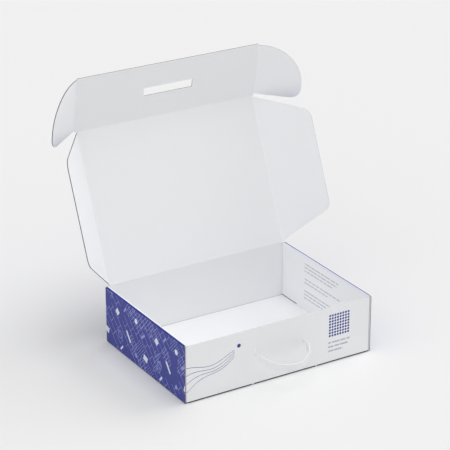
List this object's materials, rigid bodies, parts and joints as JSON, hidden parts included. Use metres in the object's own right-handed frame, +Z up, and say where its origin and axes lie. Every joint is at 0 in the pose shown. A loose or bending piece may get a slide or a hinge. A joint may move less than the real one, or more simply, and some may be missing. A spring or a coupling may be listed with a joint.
{
  "type": "corrugated mailer box",
  "caption": "Folded corrugated box with roll-over side walls, a hinged lid with wings, a slotted tuck flap with round ears, and a curved strap handle.",
  "frame": {"origin": "middle of the tray's underside, on the surface that it stands on", "axes": "+X to the right, the front wall faces -Y, +Z up"},
  "size_m": [0.4742, 0.4038, 0.4328],
  "materials": {
    "board": "matte",
    "handle_plastic": "satin"
  },
  "bodies": {
    "tray": {"tray": "board"},
    "lid": {"lid": "board"},
    "wing_left": {"wing_left": "board"},
    "wing_right": {"wing_right": "board"},
    "tuck_flap": {"tuck_flap": "board"},
    "ear_left": {"ear_left": "board"},
    "ear_right": {"ear_right": "board"},
    "handle": {"handle": "handle_plastic"}
  },
  "joints": [
    {"name": "lid_hinge", "type": "hinge", "parent": "tray", "child": "lid", "pos_m": [0, 0.1273, 0.101], "axis": [1, 0, 0], "range_deg": [-55, 113]},
    {"name": "wing_left_fold", "type": "hinge", "parent": "lid", "child": "wing_left", "pos_m": [-0.16805, 0.17737, 0.21896], "axis": [0, 0.3907, 0.9205], "range_deg": [-50, 102]},
    {"name": "wing_right_fold", "type": "hinge", "parent": "lid", "child": "wing_right", "pos_m": [0.16805, 0.17737, 0.21896], "axis": [0, -0.3907, -0.9205], "range_deg": [-50, 102]},
    {"name": "tuck_flap_fold", "type": "hinge", "parent": "lid", "child": "tuck_flap", "pos_m": [0, 0.22744, 0.33692], "axis": [1, 0, 0], "range_deg": [-32, 58]},
    {"name": "ear_left_fold", "type": "hinge", "parent": "tuck_flap", "child": "ear_left", "pos_m": [-0.17275, 0.21986, 0.38483], "axis": [0, -0.1564, 0.9877], "range_deg": [-36, 54]},
    {"name": "ear_right_fold", "type": "hinge", "parent": "tuck_flap", "child": "ear_right", "pos_m": [0.17275, 0.21986, 0.38483], "axis": [0, 0.1564, -0.9877], "range_deg": [-36, 54]},
    {"name": "handle_swing", "type": "hinge", "parent": "tray", "child": "handle", "pos_m": [0, -0.125, 0.0525], "axis": [-1, 0, 0], "range_deg": [-17, 49]}
  ],
  "couplings": [
    {"joint": "wing_left_fold", "follows": "lid_hinge", "ratio": 0.9},
    {"joint": "wing_right_fold", "follows": "lid_hinge", "ratio": 0.9}
  ]
}
